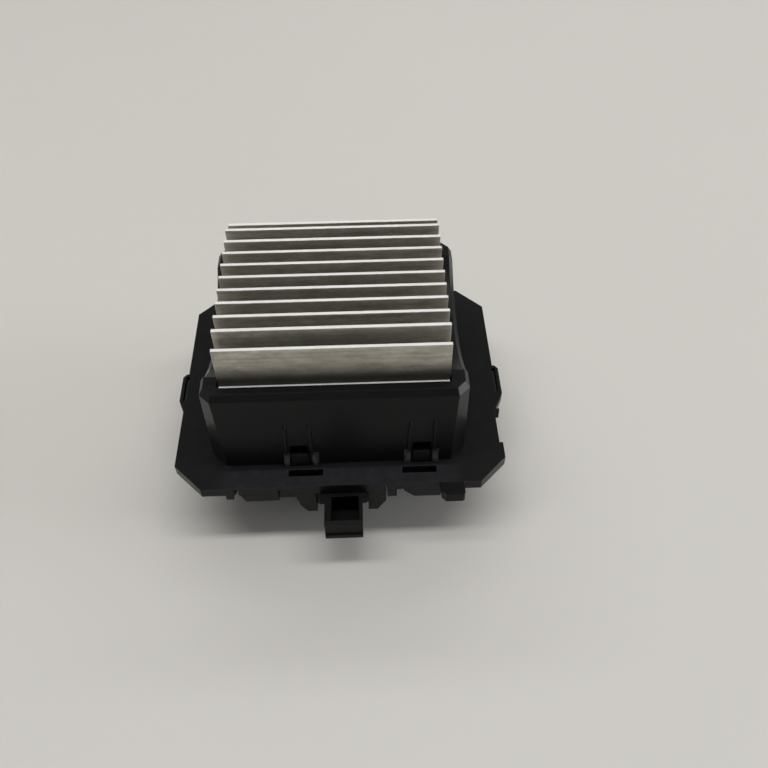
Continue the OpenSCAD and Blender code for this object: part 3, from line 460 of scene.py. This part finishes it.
rounding = {
    "seam": math.radians(13),      # an edge flatter than this is shaded smooth
    "outward": math.radians(30),   # an outer edge sharper than this gets a round
    "room": 2.2,                   # and has to be this many rounds long
    "segments": 2,
}


def markEdges(mesh, width):
    # weight 1 on the sharp outer edges that have room for a round, 0 on the rest
    work = bmesh.new()
    work.from_mesh(mesh)
    layer = work.edges.layers.float.new("bevel_weight_edge")
    sharp = {edge for edge in work.edges
             if len(edge.link_faces) == 2 and edge.calc_face_angle() > rounding["seam"]}
    short = {edge for edge in sharp if edge.calc_length() < rounding["room"] * width}
    for edge in sharp - short:
        near = {other for vert in edge.verts for other in vert.link_edges}
        if edge.calc_face_angle_signed() > rounding["outward"] and not near & short:
            edge[layer] = 1
    for edge in work.edges:
        edge.smooth = edge not in sharp
    for face in work.faces:
        face.smooth = True
    work.to_mesh(mesh)
    work.free()


def rounded(thing, width):
    markEdges(thing.data, width)
    bevel = thing.modifiers.new("edges", "BEVEL")
    bevel.width = width
    bevel.segments = rounding["segments"]
    bevel.limit_method = "WEIGHT"
    bevel.use_clamp_overlap = False
    bevel.miter_outer = "MITER_ARC"
    level = thing.modifiers.new("flat faces", "WEIGHTED_NORMAL")
    level.mode = "FACE_AREA"
    level.weight = 100
    level.thresh = 0
    level.keep_sharp = True
    return settled(thing)


def mergedCopy(nodeName, pieceName):
    # a CAD node's triangles welded, and its flats made whole again
    work = bmesh.new()
    work.from_mesh(frame["nodes"][nodeName].data)
    bmesh.ops.remove_doubles(work, verts=work.verts, dist=weld)
    bmesh.ops.dissolve_limit(work, angle_limit=math.radians(0.4),
                             verts=work.verts, edges=work.edges)
    return newObject(pieceName, meshFrom(pieceName, work))


def dress(thing, slotName):
    thing.data.materials.clear()
    thing.data.materials.append(finishes[slotName])


def handIn(piece, slotName, *nodeNames):
    dress(piece, slotName)
    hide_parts(*nodeNames)
    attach(piece, "root")


class Tree:
    # a node group for a modifier: named inputs, and nodes made by one call
    def __init__(self, name, **inputs):
        self.group = bpy.data.node_groups.new(name, "GeometryNodeTree")
        face = self.group.interface
        face.new_socket("Geometry", in_out="INPUT", socket_type="NodeSocketGeometry")
        for label, kind in inputs.items():
            face.new_socket(label, in_out="INPUT", socket_type="NodeSocket" + kind)
        face.new_socket("Geometry", in_out="OUTPUT", socket_type="NodeSocketGeometry")
        self.source = self.group.nodes.new("NodeGroupInput")
        self.sink = self.group.nodes.new("NodeGroupOutput")

    def given(self, label):
        return self.source.outputs[label]

    def add(self, kind, settings=None, sockets=None, out=0):
        node = self.group.nodes.new(kind)
        for key, value in (settings or {}).items():
            setattr(node, key, value)
        for key, value in (sockets or {}).items():
            if isinstance(value, bpy.types.NodeSocket):
                self.group.links.new(value, node.inputs[key])
            else:
                node.inputs[key].default_value = value
        return node.outputs[out]

    def finish(self, geometry, material):
        real = self.add("GeometryNodeRealizeInstances", None, {0: geometry})
        welded = self.add("GeometryNodeMergeByDistance", None, {0: real, "Distance": weld})
        painted = self.add("GeometryNodeSetMaterial", None, {0: welded, "Material": material})
        self.group.links.new(painted, self.sink.inputs[0])

    def applyTo(self, thing, **values):
        modifier = thing.modifiers.new(self.group.name, "NODES")
        modifier.node_group = self.group
        for item in self.group.interface.items_tree:
            if item.in_out == "INPUT" and item.name in values:
                modifier[item.identifier] = values[item.name]
        return settled(thing)


fins = {
    "count": 9,
    "pitch": 4.4 * mm,
    "length": 54 * mm,
    "tip": 0.95 * mm,
    "root": 1.25 * mm,
    "foot": 0.5 * mm,
    "top": 37.8 * mm,
    "outerTop": 36.0 * mm,
    "plateTop": 16.2 * mm,
    "plateBottom": 12.6 * mm,
    "lipTop": 24.3 * mm,
    "lipThickness": 1.3 * mm,
    "lipReach": 0.9 * mm,
    "webHalf": (19 * mm, 2 * mm),
    "webBottom": -2.8 * mm,
    "webSunk": 0.5 * mm,    # how far the web's box reaches up into the plate
    "edge": 0.08 * mm,
}


def strip(work, section, length, *openSides):
    # a bar along X over a section of (y, z) corners; side i runs from corner i to the next
    low, high = ([work.verts.new((end * length / 2, y, z)) for y, z in section]
                 for end in (-1, 1))
    faces = []
    for i in range(len(section)):
        j = (i + 1) % len(section)
        if i not in openSides:
            faces.append(work.faces.new((low[i], low[j], high[j], high[i])))
    faces += [work.faces.new(high), work.faces.new(low[::-1])]
    bmesh.ops.recalc_face_normals(work, faces=faces)


def makeTooth():
    # one fin with half a valley on each side; left open where the next one joins
    half = fins["pitch"] / 2
    root, tip, foot = fins["root"] / 2, fins["tip"] / 2, fins["foot"]
    right = [(half, fins["plateBottom"]), (half, fins["plateTop"]),
             (root + foot, fins["plateTop"]), (root, fins["plateTop"] + foot),
             (tip, fins["top"])]
    left = [(-y, z) for y, z in reversed(right)]
    work = bmesh.new()
    strip(work, right + left, fins["length"], 0, len(right + left) - 2)
    return newObject("toothSeed", meshFrom("toothSeed", work))


def outerTooth(work, side):
    # the shorter fin at one end of the row, with its lip
    inner = fins["count"] * fins["pitch"] / 2
    middle = inner + fins["pitch"] / 2
    root, tip, foot = fins["root"] / 2, fins["tip"] / 2, fins["foot"]
    skin = middle + root
    lip = skin + fins["lipReach"]
    lipBottom = fins["lipTop"] - fins["lipThickness"]
    section = [(inner, fins["plateTop"]), (middle - root - foot, fins["plateTop"]),
               (middle - root, fins["plateTop"] + foot), (middle - tip, fins["outerTop"]),
               (middle + tip, fins["outerTop"]), (skin, fins["lipTop"] + foot),
               (skin, fins["lipTop"]), (lip, fins["lipTop"]), (lip, lipBottom),
               (skin, lipBottom), (skin, fins["plateBottom"]), (inner, fins["plateBottom"])]
    strip(work, [(y * side, z) for y, z in section], fins["length"], len(section) - 1)


def finRow():
    # the node group that repeats one tooth along Y and welds the row to what it is given
    tree = Tree("finRow", Tooth="Object", Count="Int", Pitch="Float", Metal="Material")
    halfBack = tree.add("ShaderNodeMath", {"operation": "MULTIPLY"},
                        {0: tree.given("Pitch"), 1: -0.5})
    gaps = tree.add("ShaderNodeMath", {"operation": "SUBTRACT"}, {0: tree.given("Count"), 1: 1.0})
    start = tree.add("ShaderNodeMath", {"operation": "MULTIPLY"}, {0: halfBack, 1: gaps})
    line = tree.add("GeometryNodeMeshLine", None, {
        "Count": tree.given("Count"),
        "Start Location": tree.add("ShaderNodeCombineXYZ", None, {"Y": start}),
        "Offset": tree.add("ShaderNodeCombineXYZ", None, {"Y": tree.given("Pitch")})})
    tooth = tree.add("GeometryNodeObjectInfo", None, {"Object": tree.given("Tooth")},
                     out="Geometry")
    row = tree.add("GeometryNodeInstanceOnPoints", None, {"Points": line, "Instance": tooth})
    joined = tree.add("GeometryNodeJoinGeometry", None, {0: row})
    tree.group.links.new(tree.given("Geometry"), joined.node.inputs[0])
    tree.finish(joined, tree.given("Metal"))
    return tree


def makeFinBlock():
    work = bmesh.new()
    outerTooth(work, 1)
    outerTooth(work, -1)
    webX, webY = fins["webHalf"]
    webTop = fins["plateBottom"] + fins["webSunk"]
    strip(work, [(-webY, fins["webBottom"]), (webY, fins["webBottom"]),
                 (webY, webTop), (-webY, webTop)], 2 * webX)
    block = newObject("finBlock", meshFrom("finBlock", work))
    seed = makeTooth()
    finRow().applyTo(block, Tooth=seed, Count=fins["count"], Pitch=fins["pitch"],
                     Metal=finishes["drawn_aluminium"])
    bpy.data.objects.remove(seed)
    return rounded(block, fins["edge"])


handIn(makeFinBlock(), "drawn_aluminium", "heatsink")
print("fin block made")


mouldings = {
    "collarAndFlange": {"node": "frame", "slot": "frame_plastic", "edge": 0.05 * mm},
    "coverAndLatch": {"node": "cover", "slot": "cover_plastic", "edge": 0.05 * mm},
}
for pieceName, moulding in mouldings.items():
    piece = rounded(mergedCopy(moulding["node"], pieceName), moulding["edge"])
    handIn(piece, moulding["slot"], moulding["node"])
print("mouldings made")


slotOf = {part["node"]: part["material_slot"] for part in frame["record"]["subparts"]}
for nodeName, node in frame["nodes"].items():
    if not node.hide_render:
        dress(node, slotOf[nodeName])
print("inner parts dressed")


table = {
    "colour": (0.64, 0.625, 0.595),
    "mottle": 0.03,
    "flatRings": (0.25, 0.6, 0.9),
    "radius": 1.3,
    "coveRise": 0.30,
    "coveSteps": 8,
    "sides": 64,
}


def tableTop():
    finish = Finish("tableTop", Roughness=0.55)
    cloud = finish.noise(3.0, 3, 0.5)
    fine = finish.noise(900, 3, 0.6)
    colour = finish.blend(cloud, tuple(c * (1 - table["mottle"]) for c in table["colour"]),
                          tuple(c * (1 + table["mottle"]) for c in table["colour"]))
    return finish.done(Base_Color=colour, Normal=finish.bump(fine, 0.02 * mm, 0.2))


def makeFloor():
    # a round table top whose rim curves up, so that it fades into the room
    low = cadBox[0].z
    start = table["flatRings"][-1]
    bend = table["radius"] - start
    rings = [(radius, low) for radius in table["flatRings"]]
    for step in range(1, table["coveSteps"] + 1):
        turn = step / table["coveSteps"] * math.pi / 2
        rings.append((start + bend * math.sin(turn),
                      low + table["coveRise"] * (1 - math.cos(turn))))
    work = bmesh.new()
    centre = work.verts.new((0, 0, low))
    turns = [math.tau * k / table["sides"] for k in range(table["sides"])]
    loops = [[work.verts.new((radius * math.cos(turn), radius * math.sin(turn), z))
              for turn in turns] for radius, z in rings]
    for k in range(table["sides"]):
        after = (k + 1) % table["sides"]
        work.faces.new((centre, loops[0][k], loops[0][after]))
        for near, far in zip(loops, loops[1:]):
            work.faces.new((near[k], far[k], far[after], near[after]))
    for face in work.faces:
        face.smooth = True
    floor = newObject("floor", meshFrom("floor", work))
    floor.data.materials.append(tableTop())


# two long strip lamps that run along X give the shadow its soft sides and crisp front edge
lamps = {
    "overhead": {"at": (0.0, 0.005, 1.15), "size": (1.70, 0.12), "watts": 8.5,
                 "colour": (1.0, 0.985, 0.96), "mirrored": True},
    "rear": {"at": (0.0, 0.74, 0.88), "size": (1.70, 0.12), "watts": 3.4,
             "colour": (1.0, 0.985, 0.96), "mirrored": False},
    "front": {"at": (-0.10, -0.62, 0.72), "size": (0.45, 0.45), "watts": 0.15,
              "colour": (0.86, 0.92, 1.0), "mirrored": True},
    "window": {"at": (1.30, -0.05, 0.30), "size": (0.58, 0.58), "watts": 7.9,
               "colour": (0.96, 0.98, 1.0), "mirrored": True},
}


def makeLamps():
    for name, lamp in lamps.items():
        light = bpy.data.lights.new(name, "AREA")
        light.shape = "RECTANGLE"
        light.size, light.size_y = lamp["size"]
        light.energy = lamp["watts"]
        light.color = lamp["colour"]
        thing = newObject(name, light)
        thing.location = lamp["at"]
        thing.rotation_euler = (-Vector(lamp["at"])).to_track_quat("-Z", "Y").to_euler()
        thing.visible_camera = False
        thing.visible_glossy = lamp["mirrored"]


room = {
    "horizon": (0.52, 0.515, 0.50),
    "behind": (0.44, 0.437, 0.43),
    "before": (0.085, 0.089, 0.098),
    "ceiling": (0.175, 0.174, 0.171),
    "horizonFades": ((0.05, 1), (0.35, 0)),   # by the height of the direction, 0 to 1
    "ceilingStarts": ((0.62, 0), (0.80, 1)),
}


def makeWorld():
    # a room: pale all round at the horizon, brighter behind the part than in front of it
    world = bpy.data.worlds.new("room")
    world.use_nodes = True
    bpy.context.scene.world = world
    graph = Graph(world.node_tree, "Generated")
    up = graph.part(graph.place, "Z")
    behind = graph.clamp(graph.part(graph.place, "Y") * 1.2 + 0.5)
    walls = graph.blend(behind, room["before"], room["behind"])
    walls = graph.blend(graph.ramp(up, *room["ceilingStarts"]), walls, room["ceiling"])
    walls = graph.blend(graph.ramp(up, *room["horizonFades"]), walls, room["horizon"])
    graph.feed(graph.tree.nodes["Background"].inputs["Color"], walls)


camera = {
    "at": (7.61 * mm, -142.10 * mm, 164.68 * mm),
    "turns": ((-1.8737, "Z"), (40.2406, "X"), (-0.3104, "Z")),   # yaw, tilt and roll
    "lens": 37.07,
    "sensor": 36,
    "nearest": 5 * mm,
}


def makeCamera():
    data = bpy.data.cameras.new("camera")
    data.lens = camera["lens"]
    data.sensor_width = camera["sensor"]
    data.clip_start = camera["nearest"]
    pose = Matrix.Translation(camera["at"])
    for degrees, axis in camera["turns"]:
        pose = pose @ Matrix.Rotation(math.radians(degrees), 4, axis)
    thing = newObject("camera", data)
    thing.matrix_world = pose
    bpy.context.scene.camera = thing


makeFloor()
makeLamps()
makeWorld()
makeCamera()
bpy.context.scene.view_settings.view_transform = "Standard"
print("stage set")
